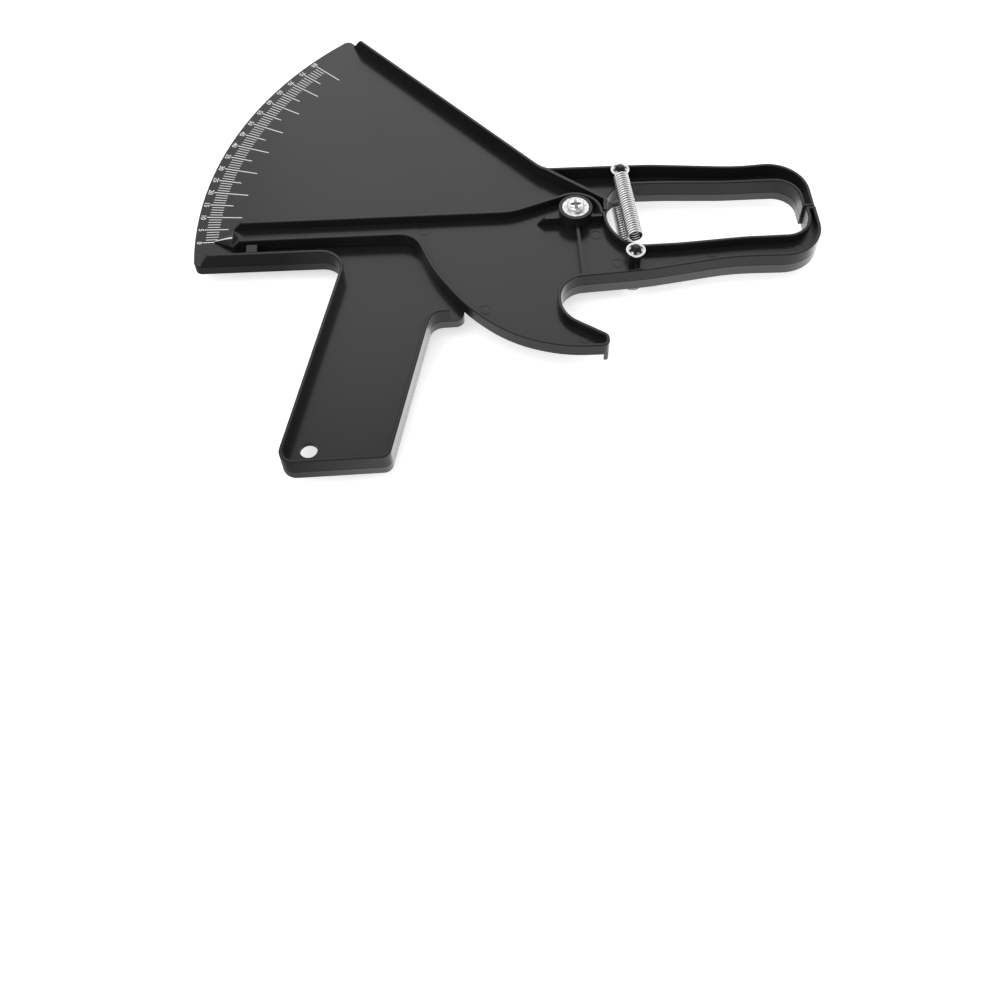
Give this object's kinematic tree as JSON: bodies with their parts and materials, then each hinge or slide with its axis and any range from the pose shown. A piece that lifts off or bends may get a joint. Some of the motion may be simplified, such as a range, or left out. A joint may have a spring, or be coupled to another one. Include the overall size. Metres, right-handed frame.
{
  "type": "skinfold caliper",
  "caption": "Pistol-grip skinfold caliper: frame with scale fan and upper jaw, sprung lever with pointer, finger hook and lower jaw.",
  "frame": {"origin": "on the pivot axis, level with the back rims of the frame", "axes": "+X along the jaws to their tips; +Z out of the face that carries the scale; +Y to the fan's upper corner; the zero mark of the scale lies on -X"},
  "size_m": [0.2769, 0.2603, 0.0262],
  "materials": {
    "frame_plastic": "satin black moulding with a printed white scale",
    "lever_plastic": "satin black moulding with a white pointer line",
    "nickel": "bright nickel plating",
    "nut_steel": "zinc plated",
    "spring_wire": "bright spring wire",
    "clip_steel": "bright stamped steel"
  },
  "bodies": {
    "frame_body": {"frame": "frame_plastic", "pivot_screw": "nickel", "front_washer": "nickel", "back_washer": "nickel", "lock_nut": "nut_steel", "front_spring": "spring_wire", "back_spring": "spring_wire", "upper_front_clip": "clip_steel", "upper_back_clip": "clip_steel"},
    "lever_body": {"lever": "lever_plastic", "lower_front_clip": "clip_steel", "lower_back_clip": "clip_steel"}
  },
  "joints": [
    {"name": "jaw_pivot", "type": "hinge", "parent": "frame_body", "child": "lever_body", "pos_m": [0, 0, 0], "axis": [0, 0, -1], "range_deg": [0, 44.78], "stiffness_Nm_per_rad": 0.25, "springref_deg": -68.75, "deforming": ["front_spring", "back_spring"]}
  ]
}
